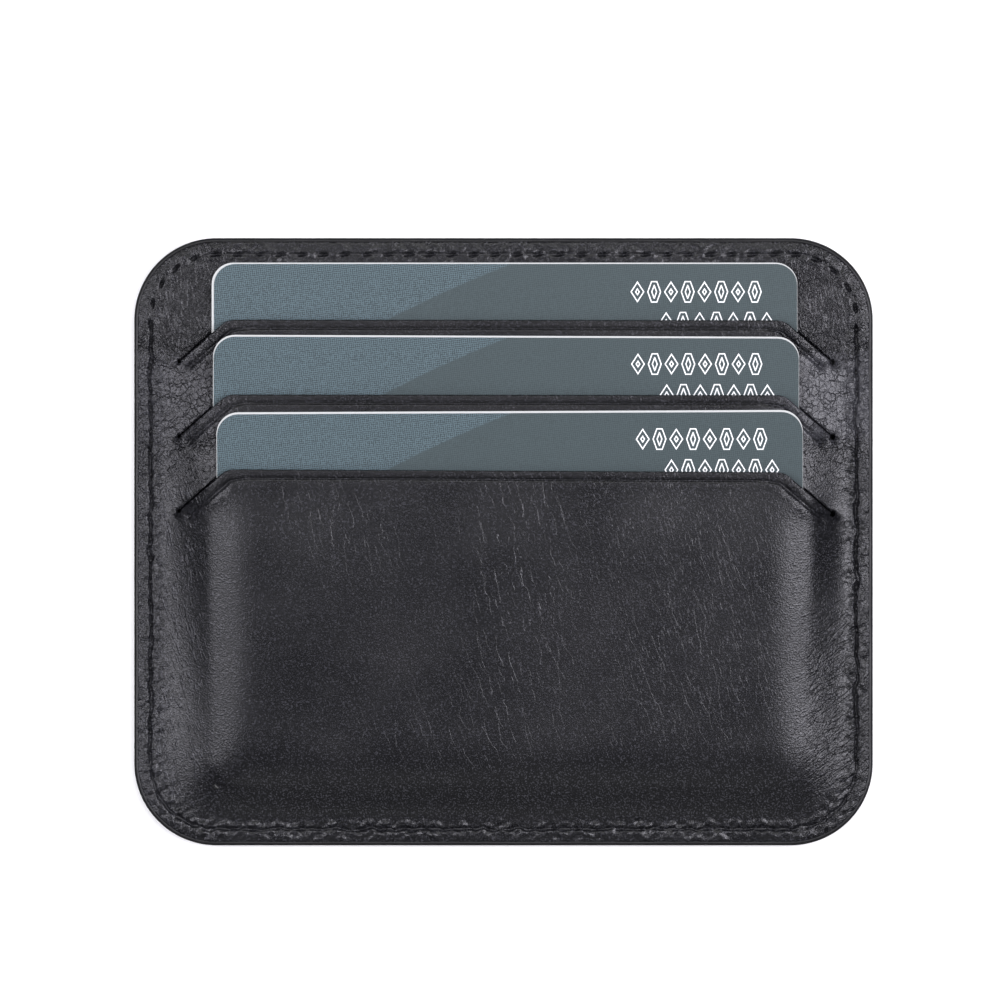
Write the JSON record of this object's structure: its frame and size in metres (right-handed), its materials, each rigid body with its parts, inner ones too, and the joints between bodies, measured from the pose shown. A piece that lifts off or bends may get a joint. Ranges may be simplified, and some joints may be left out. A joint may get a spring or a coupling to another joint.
{
  "type": "card holder",
  "caption": "Slim leather card holder with stepped slit pockets in its front, a stitched rim and bank-size cards that slide out of the pockets.",
  "frame": {"origin": "centre of the overall box on the surface that the holder lies on, which its back touches", "axes": "+X to the right across the pockets, the long way; +Y towards the pocket mouths, the way the cards come out; +Z out of the front, the thin way"},
  "size_m": [0.108, 0.0888, 0.0082],
  "materials": {
    "front_leather": "black waxed leather with a fine grain, creased lines and a soft sheen",
    "back_leather": "black waxed leather with a fine grain",
    "lining_cloth": "black twill lining",
    "pocket_cloth": "thin black plain-weave pocket cloth",
    "edge_paint": "matt black edge coat",
    "thread": "black waxed polyester thread",
    "card_plastic": "white card stock",
    "card_front_film": "slate grey printed film with a lighter sweep",
    "card_back_film": "pale grey printed film",
    "magnetic_stripe": "dark brown-black magnetic tape",
    "chip_contacts": "gold plated contact plate"
  },
  "bodies": {
    "holder": {"front_panel": "front_leather", "back_panel": "back_leather", "back_lining": "lining_cloth", "edge_paint": "edge_paint", "needle_thread": "thread", "bobbin_thread": "thread", "pocket_liner_top": "pocket_cloth", "pocket_liner_middle": "pocket_cloth", "pocket_liner_bottom": "pocket_cloth"},
    "top_card": {"top_card_core": "card_plastic", "top_card_front_print": "card_front_film", "top_card_back_print": "card_back_film", "top_card_stripe": "magnetic_stripe", "top_card_chip": "chip_contacts"},
    "middle_card": {"middle_card_core": "card_plastic", "middle_card_front_print": "card_front_film", "middle_card_back_print": "card_back_film", "middle_card_stripe": "magnetic_stripe", "middle_card_chip": "chip_contacts"},
    "bottom_card": {"bottom_card_core": "card_plastic", "bottom_card_front_print": "card_front_film", "bottom_card_back_print": "card_back_film", "bottom_card_stripe": "magnetic_stripe", "bottom_card_chip": "chip_contacts"}
  },
  "joints": [
    {"name": "top_card_slide", "type": "slide", "parent": "holder", "child": "top_card", "axis": [0, 0.9998, 0.0175], "range_m": [0, 0.06]},
    {"name": "middle_card_slide", "type": "slide", "parent": "holder", "child": "middle_card", "axis": [0, 0.9991, 0.0419], "range_m": [0, 0.071]},
    {"name": "bottom_card_slide", "type": "slide", "parent": "holder", "child": "bottom_card", "axis": [0, 0.9978, 0.0663], "range_m": [0, 0.082]}
  ]
}
